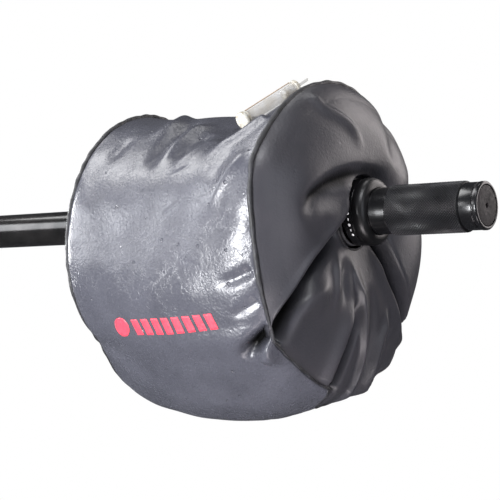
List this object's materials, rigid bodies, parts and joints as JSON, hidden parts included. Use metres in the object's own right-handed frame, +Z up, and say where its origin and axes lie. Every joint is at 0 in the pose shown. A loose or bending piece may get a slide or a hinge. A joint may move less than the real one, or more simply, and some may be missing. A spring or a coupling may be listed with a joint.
{
  "type": "counterweight sandbag on a bar",
  "caption": "Drum-shaped vinyl sandbag threaded on a round bar, kept on by a knurled grip with a twist-lock collar, with a stoppered filler spout on top.",
  "frame": {"origin": "centre of the flat end face of the plug at the bar's inner end", "axes": "+X along the bar from the inner end to the grip, +Z up with the bag hanging down, +Y to the left when looking from the inner end towards the grip"},
  "size_m": [0.495, 0.24, 0.2635],
  "materials": {
    "anodised": "satin",
    "knurl": "satin",
    "end_disc": "matte",
    "spring_steel": "satin",
    "rubber": "matte",
    "bar_plug": "matte",
    "wrap_vinyl": "satin",
    "panel_vinyl": "satin",
    "binding": "satin",
    "lining": "matte",
    "sand": "matte",
    "clear_vinyl": "gloss"
  },
  "bodies": {
    "bar": {"bar_tube": "anodised", "bar_inner_plug": "bar_plug", "bar_outer_plug": "bar_plug"},
    "sleeve": {"inner_sleeve": "lining"},
    "bag": {"wrap_panel": "wrap_vinyl", "front_end_panel": "panel_vinyl", "rear_end_panel": "panel_vinyl", "front_seam_binding": "binding", "rear_seam_binding": "binding", "front_neck_hem": "binding", "rear_neck_hem": "binding", "sand_fill": "sand", "valve_base": "clear_vinyl", "filler_spout": "clear_vinyl"},
    "stopper": {"spout_stopper": "clear_vinyl"},
    "handle": {"handle_core": "anodised", "knurled_sleeve": "knurl", "end_ferrule": "anodised", "end_cap_disc": "end_disc", "index_ring": "anodised", "collet": "spring_steel", "collar_o_ring": "rubber"},
    "collar": {"lock_collar": "anodised"}
  },
  "joints": [
    {"name": "bag_slide", "type": "slide", "parent": "bar", "child": "sleeve", "axis": [1, 0, 0], "range_m": [-0.15, 0]},
    {"name": "bag_swing", "type": "hinge", "parent": "sleeve", "child": "bag", "pos_m": [0.285, 0, -0.0046], "axis": [1, 0, 0], "range_deg": [-30, 30]},
    {"name": "handle_slide", "type": "slide", "parent": "bar", "child": "handle", "axis": [1, 0, 0], "range_m": [0, 0.05]},
    {"name": "collar_twist", "type": "hinge", "parent": "handle", "child": "collar", "pos_m": [0.4, 0, 0], "axis": [1, 0, 0], "range_deg": [0, 75]},
    {"name": "stopper_pull", "type": "slide", "parent": "bag", "child": "stopper", "axis": [0.2999, 0.7998, 0.5199], "range_m": [0, 0.014]}
  ]
}
